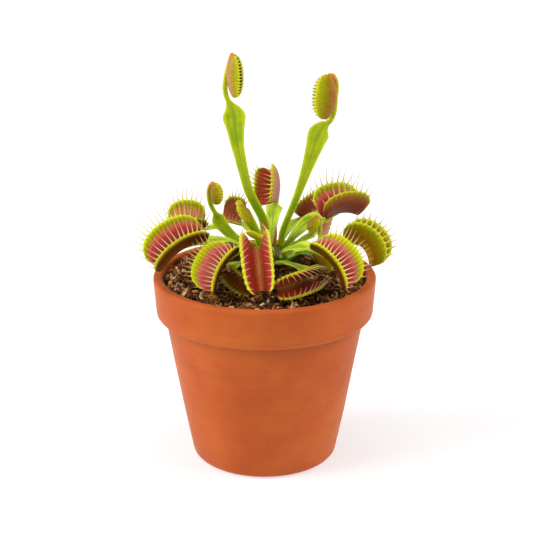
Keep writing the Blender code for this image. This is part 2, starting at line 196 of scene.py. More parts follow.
def peat():
    """Damp peat: dark brown, crumbly and dull."""
    mat, shader = new_material("damp_peat", {"Roughness": 0.9, "Specular IOR Level": 0.2})
    where = add(mat, "ShaderNodeTexCoord").outputs["Object"]
    crumbs = add(mat, "ShaderNodeTexNoise", {
        "Vector": where, "Scale": 420.0, "Detail": 6.0, "Roughness": 0.7})
    tones = add(mat, "ShaderNodeValToRGB", {"Fac": crumbs.outputs["Fac"]}, stops=[
        (0.32, "#120a04"), (0.55, "#46290f"), (0.75, "#8a5c2a")])
    plug(mat, tones.outputs["Color"], shader, "Base Color")
    relief(mat, shader, crumbs.outputs["Fac"], 0.9, 0.0012)
    return mat


def dry_moss():
    """Dried sphagnum and shredded bark: curled brown and straw flakes, each its own tone."""
    mat, shader = new_material("dried_sphagnum_and_bark", {"Roughness": 0.8, "Specular IOR Level": 0.3})
    where = add(mat, "ShaderNodeTexCoord").outputs["Object"]
    own = add(mat, "ShaderNodeAttribute", attribute_name="tone")
    fibres = add(mat, "ShaderNodeTexNoise", {"Vector": where, "Scale": 900.0, "Detail": 4.0})
    mixed = add(mat, "ShaderNodeMath", {0: fibres.outputs["Fac"], 1: 0.35, 2: own.outputs["Fac"]},
                operation="MULTIPLY_ADD")
    tones = add(mat, "ShaderNodeValToRGB", {"Fac": mixed.outputs["Value"]}, stops=[
        (0.12, "#1e1006"), (0.32, "#6c4018"), (0.55, "#a86a30"), (0.80, "#c8924e"), (1.0, "#e4bc8c")])
    plug(mat, tones.outputs["Color"], shader, "Base Color")
    relief(mat, shader, fibres.outputs["Fac"], 0.6, 0.0004)
    return mat


def leaf_skin(name, deep, light, edge, rust, foot="#5f8a06", ripe=14.0, streak=0.55):
    """A living skin: waxy, with lengthwise veins, its own colours at edge and foot, and light through it.

    UV x runs from -1 at one edge to 1 at the other and UV y is mm from the foot. The colour of the
    foot has given way to that of the blade after as many mm as ripe says."""
    mat, shader = new_material(name, {
        "Roughness": 0.42, "IOR": 1.42, "Specular IOR Level": 0.35,
        "Subsurface Weight": 0.25, "Subsurface Radius": (0.6, 1.0, 0.15), "Subsurface Scale": 0.0012})
    where = add(mat, "ShaderNodeTexCoord").outputs["Object"]
    grown = add(mat, "ShaderNodeUVMap", uv_map="grown")
    split = add(mat, "ShaderNodeSeparateXYZ", {"Vector": grown.outputs["UV"]})
    blotch = add(mat, "ShaderNodeTexNoise", {
        "Vector": where, "Scale": 130.0, "Detail": 5.0, "Roughness": 0.65})
    # veins run the length of the blade, about 0.9 mm apart where it is 8 mm broad
    lines = add(mat, "ShaderNodeMapping", {"Vector": grown.outputs["UV"], "Scale": (4.5, 0.06, 1.0)})
    veins = add(mat, "ShaderNodeTexNoise", {"Vector": lines.outputs["Vector"], "Scale": 1.0, "Detail": 3.0})
    patch = add(mat, "ShaderNodeMix", {
        "Factor": streak, "A": blotch.outputs["Fac"], "B": veins.outputs["Fac"]})
    green = add(mat, "ShaderNodeValToRGB", {"Fac": patch.outputs["Result"]}, stops=[
        (0.4, deep), (0.56, light)])
    young = add(mat, "ShaderNodeMapRange", {
        "Value": split.outputs["Y"], "From Min": 0.0, "From Max": ripe, "To Min": 0.6, "To Max": 0.0})
    # the groove over the midvein takes up the colour of the foot
    groove = add(mat, "ShaderNodeMath", {0: split.outputs["X"], 1: split.outputs["X"]}, operation="MULTIPLY")
    sunk = add(mat, "ShaderNodeMapRange", {
        "Value": groove.outputs["Value"], "From Min": 0.0, "From Max": 0.05, "To Min": 0.5, "To Max": 0.0})
    deepest = add(mat, "ShaderNodeMath", {0: young.outputs["Result"], 1: sunk.outputs["Result"]},
                  operation="MAXIMUM")
    greener = add(mat, "ShaderNodeMix", {
        "Factor": deepest.outputs["Value"], "A": green.outputs["Color"], "B": colour(foot)},
                  data_type="RGBA")
    # the margin of the blade has its own colour
    side = add(mat, "ShaderNodeMath", {0: split.outputs["X"]}, operation="ABSOLUTE")
    rim = add(mat, "ShaderNodeMapRange", {
        "Value": side.outputs["Value"], "From Min": 0.6, "From Max": 1.0, "To Min": 0.0, "To Max": 0.8})
    edged = add(mat, "ShaderNodeMix", {
        "Factor": rim.outputs["Result"], "A": greener.outputs["Result"], "B": colour(edge)},
                data_type="RGBA")
    plug(mat, blush_over(mat, edged.outputs["Result"], rust), shader, "Base Color")
    relief(mat, shader, patch.outputs["Result"], 0.5, 0.0005)
    return mat


def trap_skin(name, stops, rib, gloss, rust="#c4541e"):
    """One face of a trap lobe: fleshy and a little glossy, with a pale rib for each bristle place.

    UV x counts those places along the margin. UV y is the depth from the margin in mm, as it is halfway
    along the trap, and the stops say which colour the flesh has at each depth."""
    mat, shader = new_material(name, {
        "Roughness": gloss, "IOR": 1.42, "Specular IOR Level": 0.3, "Specular Tint": (1.0, 0.85, 0.4, 1.0),
        "Subsurface Weight": 0.12, "Subsurface Radius": (1.0, 0.5, 0.2), "Subsurface Scale": 0.0008})
    where = add(mat, "ShaderNodeTexCoord").outputs["Object"]
    grown = add(mat, "ShaderNodeUVMap", uv_map="grown")
    split = add(mat, "ShaderNodeSeparateXYZ", {"Vector": grown.outputs["UV"]})
    fine = add(mat, "ShaderNodeTexNoise", {
        "Vector": where, "Scale": 1300.0, "Detail": 3.0, "Roughness": 0.7})
    broad = add(mat, "ShaderNodeTexNoise", {"Vector": where, "Scale": 230.0, "Detail": 3.0})
    # the ribs are 0.9 to 1.5 mm apart and fade between 3 and 8 mm from the margin
    turn = add(mat, "ShaderNodeMath", {0: split.outputs["X"], 1: math.tau}, operation="MULTIPLY")
    ridge = add(mat, "ShaderNodeMath", {0: turn.outputs["Value"]}, operation="COSINE")
    lost = add(mat, "ShaderNodeMapRange", {
        "Value": split.outputs["Y"], "From Min": 3.0, "From Max": 8.0, "To Min": 1.0, "To Max": 0.0})
    wave = add(mat, "ShaderNodeMath", {0: ridge.outputs["Value"], 1: lost.outputs["Result"]},
               operation="MULTIPLY")
    # the depth is read unevenly, so no colour ends in a ruled line
    drift = add(mat, "ShaderNodeMath", {0: broad.outputs["Fac"], 1: 1.6, 2: -0.8}, operation="MULTIPLY_ADD")
    ragged = add(mat, "ShaderNodeMath", {0: wave.outputs["Value"], 1: 0.35, 2: drift.outputs["Value"]},
                 operation="MULTIPLY_ADD")
    depth = add(mat, "ShaderNodeMapRange", {"Value": split.outputs["Y"], "From Min": 0.0, "From Max": 2.0})
    pushed = add(mat, "ShaderNodeMath", {
        0: ragged.outputs["Value"], 1: depth.outputs["Result"], 2: split.outputs["Y"]},
                 operation="MULTIPLY_ADD")
    share = add(mat, "ShaderNodeMath", {0: pushed.outputs["Value"], 1: DEEPEST_FLESH}, operation="DIVIDE")
    flesh = add(mat, "ShaderNodeValToRGB", {"Fac": share.outputs["Value"]},
                stops=[(place / DEEPEST_FLESH, tint) for place, tint in stops])
    # ribs and a fine grain of glands lighten and darken the flesh
    grainy = add(mat, "ShaderNodeMath", {0: fine.outputs["Fac"], 1: 1.1, 2: -0.05}, operation="MULTIPLY_ADD")
    shade = add(mat, "ShaderNodeMath", {0: wave.outputs["Value"], 1: rib, 2: grainy.outputs["Value"]},
                operation="MULTIPLY_ADD")
    tone = add(mat, "ShaderNodeValToRGB", {"Fac": shade.outputs["Value"]}, stops=[
        (0.2, "#5a5a5a"), (0.5, "#bcbcbc"), (0.85, "#ffffff")])
    grained = add(mat, "ShaderNodeMix", {
        "Factor": 0.45, "A": flesh.outputs["Color"], "B": tone.outputs["Color"]},
                  data_type="RGBA", blend_type="OVERLAY")
    plug(mat, blush_over(mat, grained.outputs["Result"], rust), shader, "Base Color")
    relief(mat, shader, fine.outputs["Fac"], 0.5, 0.0003)
    return mat


def tooth_skin(name, stops):
    """The bristles round a trap, by their height: green where they leave the margin, paler or
    browner to the tip."""
    mat, shader = new_material(name, {
        "Roughness": 0.45, "Subsurface Weight": 0.3, "Subsurface Scale": 0.0008})
    grown = add(mat, "ShaderNodeUVMap", uv_map="grown")
    split = add(mat, "ShaderNodeSeparateXYZ", {"Vector": grown.outputs["UV"]})
    tones = add(mat, "ShaderNodeValToRGB", {"Fac": split.outputs["Y"]}, stops=stops)
    plug(mat, tones.outputs["Color"], shader, "Base Color")
    return mat


CLAY = terracotta()
PEAT = peat()
MOSS = dry_moss()
BLADE_GREEN = leaf_skin("leaf_blade", "#86aa10", "#c8dc34", "#dce650", "#a8401c", "#48780a", 16.0)
BLADE_YOUNG = leaf_skin("young_leaf_blade", "#9cb200", "#c6ce04", "#dede10", "#cc7c1c", "#5e9400", 75.0, 0.25)
BLADE_DARK = leaf_skin("shaded_leaf_blade", "#35520f", "#67861c", "#7f9a2a", "#7a3a18")
GREEN_LIP = [(0.0, "#dcdc28"), (1.0, "#b8bc10"), (2.4, "#92960a")]
LINING = trap_skin("trap_lining", GREEN_LIP + [
    (3.2, "#b8802c"), (4.3, "#c45c4a"), (6.0, "#a83034"), (9.5, "#741a18")], 0.22, 0.38)
LINING_ROSE = trap_skin("rose_trap_lining", [
    (0.0, "#e0e030"), (1.2, "#ccd010"), (2.3, "#b8bc0a"), (3.0, "#c49838"), (4.0, "#cc6c60"),
    (6.0, "#b0423f"), (9.5, "#8c2826")], 0.22, 0.38)
LINING_TAN = trap_skin("straw_trap_lining", GREEN_LIP + [
    (3.4, "#b8842c"), (6.0, "#bc7440"), (9.5, "#a8483c")], 0.2, 0.4)
LINING_FLESHY = trap_skin("narrow_lipped_lining", [
    (0.0, "#dcdc28"), (0.9, "#c8be1c"), (1.7, "#c88434"), (2.8, "#bc4c3c"), (5.0, "#b03a34"),
    (9.5, "#aa3c24"), (11.4, "#c87040"), (12.0, "#d09050")], 0.1, 0.38)
LINING_DEEP = trap_skin("shaded_trap_lining", [
    (0.0, "#d8d828"), (0.7, "#a8a80e"), (1.3, "#b07a30"), (2.2, "#b85430"), (5.0, "#a43c1c"),
    (9.0, "#8a2c12")], 0.2, 0.38)
LINING_ROSY = trap_skin("rosy_trap_lining", [
    (0.0, "#d8d828"), (0.7, "#b4ac1c"), (1.4, "#b08040"), (2.6, "#a86048"), (7.0, "#9c5038")], 0.12, 0.4)
LINING_LOW = trap_skin("lowest_trap_lining", [
    (0.0, "#dcd828"), (0.6, "#b0aa10"), (1.1, "#ac7020"), (1.8, "#a43c18"), (6.4, "#8a2812"),
    (7.8, "#74400e"), (8.5, "#8c7416")], 0.25, 0.4)
LINING_OLIVE = trap_skin("olive_trap_lining", [
    (0.0, "#cccc28"), (0.6, "#9a940e"), (1.4, "#946a1c"), (2.6, "#94501c"), (7.0, "#6a380e")], 0.3, 0.4)
OUTSIDE = trap_skin("trap_outside", [
    (0.0, "#d6d628"), (0.7, "#a8a40e"), (1.5, "#7c5c06"), (2.6, "#64360a"), (6.0, "#5e2e03"),
    (11.0, "#84580a")], 0.05, 0.42)
OUTSIDE_WINE = trap_skin("wine_trap_outside", [
    (0.0, "#d6d628"), (0.8, "#b0a418"), (1.7, "#ac8414"), (3.2, "#a8600a"), (7.0, "#8a3002"),
    (12.0, "#842c02")], 0.05, 0.42)
OUTSIDE_PALE = trap_skin("rosy_trap_outside", [
    (0.0, "#d6d628"), (0.7, "#b8a830"), (1.5, "#c08a50"), (3.5, "#b47058"), (8.0, "#9c5038")], 0.06, 0.42)
OUTSIDE_OLIVE = trap_skin("olive_trap_outside", [
    (0.0, "#d6d628"), (0.7, "#aca80c"), (1.6, "#8a9208"), (2.8, "#8c7a06"), (7.0, "#865a04"),
    (12.0, "#ac8c08")], 0.05, 0.4)
YOUNG_LEFT = trap_skin("shut_trap_rosy", [
    (0.0, "#dcdc28"), (1.0, "#b8b418"), (2.4, "#a89c20"), (4.0, "#b08c3c"), (6.0, "#bc7850"),
    (7.8, "#bc7850"), (8.4, "#bc8c38")], 0.05, 0.4, "#d0801c")
YOUNG_RIGHT = trap_skin("shut_trap_olive", [
    (0.0, "#e0dc24"), (1.0, "#c0bc14"), (2.2, "#a0a00a"), (4.5, "#968c08"), (7.0, "#947010"),
    (9.0, "#a46834"), (10.4, "#ac7c34"), (11.2, "#b89018")], 0.05, 0.4, "#d0801c")
YOUNG_CURL = trap_skin("curled_leaf_olive", [
    (0.0, "#cfc820"), (1.0, "#b4a814"), (3.0, "#907c10"), (5.5, "#946814")], 0.03, 0.4, "#c8701c")
BRISTLE = tooth_skin("trap_bristle", [
    (0.0, "#b4b818"), (0.18, "#dcd058"), (0.45, "#e6c494"), (1.0, "#ac745a")])
BRISTLE_YOUNG = tooth_skin("young_trap_bristle", [(0.0, "#b8bc10"), (0.5, "#ccc830"), (1.0, "#dcd484")])
# painted shade: the bulb gets dark olive-brown tones, as the shade deep among the leaf bases
SHADED_ROOTSTOCK = leaf_skin("shaded_rhizome_skin", "#4a4214", "#7a6a2c", "#6a5c20", "#4a2c14", "#3a3c10")
SHOOT = leaf_skin("shoot_skin", "#b45c1c", "#d07c2c", "#c0601c", "#d0501c", "#b07020")


# ---------------------------------------------------------------- the pot and its mix

CROWN = Vector((3.0, 6.0, 90.0))
CROWN_RADIUS = 7.5

# the loose litter on the mix: how many pieces, how far from the axis their middles lie at most, and
# the radius that no flake passes, in mm
FLAKES = 1900
FLAKE_REACH = 44.2
FLAKE_EDGE = 44.8
CRUMBS = 800
CRUMB_REACH = 43.5


def spun(profile, steps, closed):
    """Turns a profile of (radius, height) round the pot's axis."""
    bm = bmesh.new()
    verts = [bm.verts.new((r, 0.0, z)) for r, z in profile]
    edges = [bm.edges.new(pair) for pair in zip(verts, verts[1:])]
    if closed:
        edges.append(bm.edges.new((verts[-1], verts[0])))
    bmesh.ops.spin(bm, geom=verts + edges, axis=(0, 0, 1), cent=(0, 0, 0), steps=steps,
                   angle=math.tau, use_merge=True)
    bmesh.ops.remove_doubles(bm, verts=bm.verts, dist=0.0005)
    bmesh.ops.recalc_face_normals(bm, faces=bm.faces)
    return bm


def body_radius(z):
    return FOOT_RADIUS + (BODY_TOP_RADIUS - FOOT_RADIUS) * z / (POT_HEIGHT - COLLAR_HEIGHT)


def corner(a, b, c, reach, steps=4):
    """Rounds the corner b between a and c with a short curve."""
    a, b, c = (Vector((*p, 0.0)) for p in (a, b, c))
    start = b + (a - b).normalized() * reach
    end = b + (c - b).normalized() * reach
    curve = []
    for k in range(steps + 1):
        t = k / steps
        p = start * (1 - t) ** 2 + b * (2 * t * (1 - t)) + end * t * t
        curve.append((p.x, p.y))
    return curve


def rounded(profile, reaches):
    """Rounds each corner of a closed profile by its own reach; a reach of 0 leaves it sharp."""
    out = []
    count = len(profile)
    for i, reach in enumerate(reaches):
        if reach == 0:
            out.append(profile[i])
        else:
            out.extend(corner(profile[i - 1], profile[i], profile[(i + 1) % count], reach))
    return out


def build_pot():
    top = POT_HEIGHT
    shelf = top - COLLAR_HEIGHT
    corners = [
        ((DRAIN_RADIUS, 0.0), 0.6),
        ((FOOT_RADIUS - 0.4, 0.0), 3.2),
        ((body_radius(shelf * 0.33), shelf * 0.33), 0),
        ((body_radius(shelf * 0.66), shelf * 0.66), 0),
        ((BODY_TOP_RADIUS, shelf), 0.5),
        ((COLLAR_FOOT_RADIUS, shelf), 2.0),
        ((COLLAR_FOOT_RADIUS + 0.75, shelf + 9.0), 0),
        ((RIM_RADIUS, top), 1.9),
        ((MOUTH_RADIUS, top), 1.4),
        ((MOUTH_RADIUS - 0.8, shelf + 2), 1.0),
        ((body_radius(shelf - 3) - WALL, shelf - 3), 1.0),
        ((body_radius(FLOOR) - WALL, FLOOR), 3.0),
        ((DRAIN_RADIUS, FLOOR), 0.6),
    ]
    profile = rounded([p for p, reach in corners], [reach for p, reach in corners])
    bm = spun(profile, 144, True)
    # a fired wall is never quite true: it drifts in and out by up to about 0.2 mm
    for vert in bm.verts:
        reach = math.hypot(vert.co.x, vert.co.y)
        if reach > 10:
            drift = noise.noise(Vector((vert.co.x * 0.03, vert.co.y * 0.03, vert.co.z * 0.06))) * 0.22
            vert.co.x *= 1 + drift / reach
            vert.co.y *= 1 + drift / reach
    finish_piece("pot", bm, [CLAY], ["terracotta_pot"])


def soil_height(r):
    t = min(r / (MOUTH_RADIUS - 1.0), 1.0)
    return SOIL_AT_WALL + (SOIL_AT_CROWN - SOIL_AT_WALL) * (1 - t ** 3)


def soil_top(x, y):
    r = math.hypot(x, y)
    lump = noise.fractal(Vector((x * 0.16, y * 0.16, 3.7)), 1.0, 2.0, 4) * 1.3
    return soil_height(r) + lump * smooth(45.5, 42.0, r)


def build_mix():
    shelf = POT_HEIGHT - COLLAR_HEIGHT
    profile = [(0.0, FLOOR + 0.3), (body_radius(FLOOR) - WALL - 3.3, FLOOR + 0.3)]
    for z in (FLOOR + 3.1, shelf * 0.5, shelf - 3):
        profile.append((body_radius(z) - WALL - 0.4, z))
    for z in (shelf + 2.0, SOIL_AT_WALL - 3, SOIL_AT_WALL - 0.8):
        profile.append((MOUTH_RADIUS - 1.3, z))
    for k in range(1, 48):
        profile.append(((MOUTH_RADIUS - 1.3) * (1 - k / 48), SOIL_AT_WALL))
    profile.append((0.0, SOIL_AT_WALL))
    bm = spun(profile, 150, False)
    for vert in bm.verts:
        if vert.co.z > SOIL_AT_WALL - 0.1:
            vert.co.z = soil_top(vert.co.x, vert.co.y)
    finish_piece("peat_bed", bm, [PEAT], ["potting_mix"])


def scatter(template, placements):
    """Copies a small template once for each placement, which shapes the copy, into one bmesh."""
    whole = bmesh.new()
    spare = bpy.data.meshes.new("spare")
    for placement in placements:
        one = template.copy()
        placement(one)
        one.to_mesh(spare)
        one.free()
        whole.from_mesh(spare)
    bpy.data.meshes.remove(spare)
    template.free()
    bmesh.ops.recalc_face_normals(whole, faces=whole.faces)
    return whole


def flake_template():
    bm = bmesh.new()
    bm.verts.layers.float.new("tone")
    bmesh.ops.create_grid(bm, x_segments=4, y_segments=1, size=0.5)
    bmesh.ops.solidify(bm, geom=bm.faces[:], thickness=-1.0)
    return bm


def flake(dice):
    """Where one curled flake lies, how it bends and its tone."""
    r = math.sqrt(dice.uniform(0.0, 1.0)) * FLAKE_REACH
    a = dice.uniform(0.0, math.tau)
    long = dice.uniform(2.4, 7.0)
    wide = long * dice.uniform(0.12, 0.34)
    curl = dice.choice((-1, 1)) * dice.uniform(0.8, 3.0)
    twist = dice.uniform(-1.8, 1.8)
    thick = dice.uniform(0.2, 0.7)
    # the loose top litter is painted darker under the leaves, as their shade, and is palest toward the wall
    clear_of_leaf_shade = 0.25 + 0.75 * smooth(14.0, 40.0, r)
    shade = clear_of_leaf_shade * dice.choice((0.02, 0.06, 0.14, 0.24, 0.4, 0.6, 0.85)) + dice.uniform(-0.04, 0.06)
    turn = dice.uniform(0.0, math.tau)
    heading = Vector((math.cos(turn), math.sin(turn), dice.uniform(-0.35, 0.6))).normalized()
    side = heading.cross(Vector((dice.uniform(-0.5, 0.5), dice.uniform(-0.5, 0.5), 1.0))).normalized()
    up = side.cross(heading)
    middle = Vector((r * math.cos(a), r * math.sin(a), 0.0))
    middle.z = soil_top(middle.x, middle.y) + dice.uniform(-0.3, 1.1)

    def shape(one):
        tone = one.verts.layers.float["tone"]
        for vert in one.verts:
            x, y, z = vert.co
            bend = curl * x
            lift = long * (1 - math.cos(bend)) / curl
            roll = twist * x
            across = y * wide * (1 - 1.5 * x * x)
            over = z * thick
            point = (middle + heading * (long * math.sin(bend) / curl)
                     + side * (across * math.cos(roll) - over * math.sin(roll))
                     + up * (lift + across * math.sin(roll) + over * math.cos(roll)))
            reach = math.hypot(point.x, point.y)
            if reach > FLAKE_EDGE:
                point.x *= FLAKE_EDGE / reach
                point.y *= FLAKE_EDGE / reach
            vert.co = point
            vert[tone] = shade

    return shape


def build_flakes():
    """Curled flakes of bark and moss lying all over the mix."""
    dice = random.Random(11)
    bm = scatter(flake_template(), [flake(dice) for _ in range(FLAKES)])
    finish_piece("bark_and_moss", bm, [MOSS], ["potting_mix"], smooth_faces=False)


def crumb_template():
    bm = bmesh.new()
    bm.verts.layers.float.new("tone")
    bmesh.ops.create_icosphere(bm, subdivisions=1, radius=1.0)
    return bm


def crumb(dice):
    """Where one broken crumb of peat lies, and how lopsided and dark it is."""
    r = math.sqrt(dice.uniform(0.0, 1.0)) * CRUMB_REACH
    a = dice.uniform(0.0, math.tau)
    size = dice.uniform(0.6, 1.7)
    # the crumbs are painted darker under the leaves too, as their shade
    shade = dice.choice((-0.1, -0.05, 0.0, 0.05, 0.12, 0.2)) * (0.4 + 0.6 * smooth(14.0, 40.0, r))
    middle = Vector((r * math.cos(a), r * math.sin(a), 0.0))
    middle.z = soil_top(middle.x, middle.y) + dice.uniform(-0.2, 0.5) * size
    stretch = Vector((dice.uniform(0.7, 1.5), dice.uniform(0.7, 1.5), dice.uniform(0.5, 0.9))) * size

    def shape(one):
        tone = one.verts.layers.float["tone"]
        for vert in one.verts:
            knock = dice.uniform(0.7, 1.15)
            x, y, z = vert.co
            vert.co = middle + Vector((x * stretch.x, y * stretch.y, z * stretch.z)) * knock
            vert[tone] = shade

    return shape


def build_crumbs():
    """Broken crumbs of peat between the flakes."""
    dice = random.Random(23)
    bm = scatter(crumb_template(), [crumb(dice) for _ in range(CRUMBS)])
    finish_piece("peat_crumbs", bm, [MOSS], ["potting_mix"], smooth_faces=False)


# ---------------------------------------------------------------- leaves

# points along a petiole from the crown to the trap, and how a bristle's rings crowd to its root
PETIOLE_POINTS = 46
CROWDING = 1.6


def skin(along_steps, round_steps, place, paint=None):
    """A closed tube grown from one grid. place(s, t) gives a point and its texture values:
    s runs 0 to 1 along and t 0 to 1 round, and paint(s, t) picks a face's material.
    An end may close to a line or a point, and an open one is filled."""
    bm = bmesh.new()
    uv = bm.loops.layers.uv.new("grown")
    blush = bm.verts.layers.float.new("blush")
    bmesh.ops.create_grid(bm, x_segments=along_steps, y_segments=round_steps, size=0.5)
    if paint:
        for face in bm.faces:
            middle = face.calc_center_median()
            face.material_index = paint(middle.x + 0.5, middle.y + 0.5)
    values = {}
    for vert in bm.verts:
        s = vert.co.x + 0.5
        t = vert.co.y + 0.5
        point, grown, rust = place(s, t)
        values[vert] = grown
        vert.co = point
        vert[blush] = rust
    for face in bm.faces:
        for loop in face.loops:
            loop[uv].uv = values[loop.vert]
    bmesh.ops.remove_doubles(bm, verts=bm.verts, dist=0.0008)
    bmesh.ops.dissolve_degenerate(bm, edges=bm.edges, dist=0.0002)
    open_edges = [e for e in bm.edges if e.is_boundary]
    if open_edges:
        bmesh.ops.holes_fill(bm, edges=open_edges)
    bmesh.ops.recalc_face_normals(bm, faces=bm.faces)
    return bm


def crown_point(azimuth, elevation):
    a = math.radians(azimuth)
    e = math.radians(elevation)
    out = Vector((math.cos(a) * math.cos(e), math.sin(a) * math.cos(e), math.sin(e)))
    return CROWN + out * (CROWN_RADIUS - 0.8), out


def spline(points, steps=16):
    """Points and the length run so far along a Catmull-Rom curve."""
    ends = [points[0] * 2 - points[1], *points, points[-1] * 2 - points[-2]]
    curve = []
    for i in range(len(points) - 1):
        a, b, c, d = ends[i:i + 4]
        for k in range(steps):
            t = k / steps
            curve.append((b * 2 + (c - a) * t + (a * 2 - b * 5 + c * 4 - d) * t * t
                          + (b * 3 - a - c * 3 + d) * t * t * t) / 2)
    curve.append(points[-1].copy())
    run = [0.0]
    for a, b in zip(curve, curve[1:]):
        run.append(run[-1] + (b - a).length)
    return curve, run


def point_at(curve, run, distance):
    for k in range(1, len(run)):
        if distance <= run[k] + 1e-6:
            t = (distance - run[k - 1]) / max(run[k] - run[k - 1], 1e-9)
            return curve[k - 1].lerp(curve[k], t)
    return curve[-1].copy()


def blade_frames(points, tail, face, count):
    """Evenly spaced points along the petiole, then its tail, each with the ways across and up."""
    curve, run = spline(points)
    total = run[-1]
    spots = [point_at(curve, run, total * k / (count - 1)) for k in range(count)] + tail
    frames = []
    up = face
    for i, point in enumerate(spots):
        ahead = (spots[min(i + 1, len(spots) - 1)] - spots[max(i - 1, 0)]).normalized()
        up = (up - ahead * up.dot(ahead)).normalized()
        frames.append((point, ahead.cross(up), up))
    return frames, total


def blade_width(distance, total, widths, shoulder, drop, swell):
    """How broad the petiole is there: it widens to the shoulder, then falls away to the neck."""
    base, widest, neck = widths
    broad = (total - drop - 1.0) if shoulder is None else shoulder * total
    if distance < broad:
        t = distance / broad
        return base + t ** swell * (widest - base)
    t = (distance - broad) / drop
    if t < 1:
        return neck + (widest - neck) * (1 - t ** 1.7) ** 1.2
    return neck


def build_petiole(name, leaf):
    """The winged stalk: a thin blade with a keel below its midvein, drawn in to a round neck."""
    trap = leaf["trap"]
    along, mouth = trap["axes"][:2]
    start, out = crown_point(leaf["azimuth"], leaf["elevation"])
    points = [start, start + out * 3.3, *(Vector(p) for p in leaf["path"])]
    if trap["shut"]:
        points.append(trap["base"] + along * 0.4)
        tail = [trap["base"] + along * (0.1 * trap["length"]) - mouth * 0.3,
                trap["base"] + along * (0.2 * trap["length"]) - mouth * 0.3]
    else:
        points.append(trap["base"] - mouth * 0.3)
        tail = [lobe_point(trap, u, 0.0) - mouth * deep
                for u, deep in ((-0.86, 0.3), (-0.7, 0.3), (-0.5, 0.2), (-0.2, 0.1))]
    count = PETIOLE_POINTS
    frames, total = blade_frames(points, tail, leaf["face"], count)
    widths, shoulder, drop, swell = leaf["widths"], leaf["shoulder"], leaf["drop"], leaf["swell"]
    neck = widths[2]
    last = len(frames) - 1
    phase = (leaf["azimuth"] * 0.37) % math.tau

    def place(s, t):
        i = min(int(round(s * last)), last)
        point, side, up = frames[i]
        distance = total * i / (count - 1)
        if i < count:
            width = blade_width(distance, total, widths, shoulder, drop, swell)
        else:
            width = neck * (1 - 0.75 * (i - count + 1) / (last - count + 1))
        half = width / 2
        turn = t * math.tau
        x = math.cos(turn)
        flat = smooth(neck * 0.5 + 0.3, neck * 0.5 + 1.6, half)
        # a round neck ...
        round_up = math.sin(turn) * min(half, neck * 0.5) * 0.85
        # ... or a thin wing folded up along the midvein
        reach = x * half
        wing = leaf["fold"] * abs(reach)
        ripple = 0.22 * abs(x) ** 3 * math.sin(distance * 0.62 + phase + (1.3 if x > 0 else 0.0))
        keel = 0.75 * math.exp(-(reach / 0.7) ** 2)
        if math.sin(turn) > 0:
            thin_up = wing + ripple + 0.24 * math.sin(turn) - 0.18 * math.exp(-(reach / 0.45) ** 2)
        else:
            thin_up = wing + ripple + (0.26 + keel) * math.sin(turn)
        rise = round_up * (1 - flat) + thin_up * flat
        rust = leaf["rust"] * smooth(total - 9.0, total, distance)
        return point + side * reach + up * rise, (x, distance), rust

    bm = skin(last, 20, place)
    finish_piece(name + "_stalk", bm, [leaf["blade"]], [name])


def trap_axes(yaw, pitch, roll):
    """Along the midrib, out of the mouth, and across the lobes."""
    yaw, pitch, roll = (math.radians(v) for v in (yaw, pitch, roll))
    along = Vector((math.cos(yaw) * math.cos(pitch), math.sin(yaw) * math.cos(pitch), math.sin(pitch)))
    level = Vector((-math.cos(yaw) * math.sin(pitch), -math.sin(yaw) * math.sin(pitch), math.cos(pitch)))
    mouth = level * math.cos(roll) + level.cross(along) * math.sin(roll)
    return along, mouth, mouth.cross(along)


def lobe_reach(trap, u):
    """How wide a lobe is at u, from the midrib to the margin."""
    if trap["shut"]:
        return trap["width"] * max(1 - u * u, 0.0) ** 0.58
    ends = 1 - 0.22 * abs(u) ** 3 - 0.24 * abs(u) ** 9
    return trap["width"] * ends


def lobe_point(trap, u, v):
    """A point of a trap's sheet: u runs -1 to 1 along the midrib, v -1 to 1 from margin to margin."""
    along, mouth, across = trap["axes"]
    length = trap["length"]
    width = lobe_reach(trap, u)
    near, far = (math.radians(a) for a in trap["opening"])
    fan = math.radians(trap["fan"]) * u
    out = up = 0.0
    steps = 10
    for k in range(steps):
        angle = near + (far - near) * (k + 0.5) / steps * abs(v)
        out += math.sin(angle) * abs(v) / steps
        up += math.cos(angle) * abs(v) / steps
    rise = along * math.sin(fan) + mouth * math.cos(fan)
    return (
        trap["base"] + along * (length * (u + 1) / 2) + mouth * (trap["arch"] * length * (1 - u * u))
        + rise * (width * up) + across * (math.copysign(width * out, v))
    )


def lobe_normal(trap, u, v):
    """Out of the lobe's inner face."""
    step = 0.02
    du = lobe_point(trap, min(u + step, 1.0), v) - lobe_point(trap, max(u - step, -1.0), v)
    low, high = max(v - step, -1.0), min(v + step, 1.0)
    dv = lobe_point(trap, u, high) - lobe_point(trap, u, low)
    return du.cross(dv).normalized()


# how far from the midrib each row of points lies, as a share of the lobe's width
SPREAD = (1.0, 0.99, 0.965, 0.93, 0.88, 0.81, 0.71, 0.59, 0.46, 0.32, 0.18, 0.06)


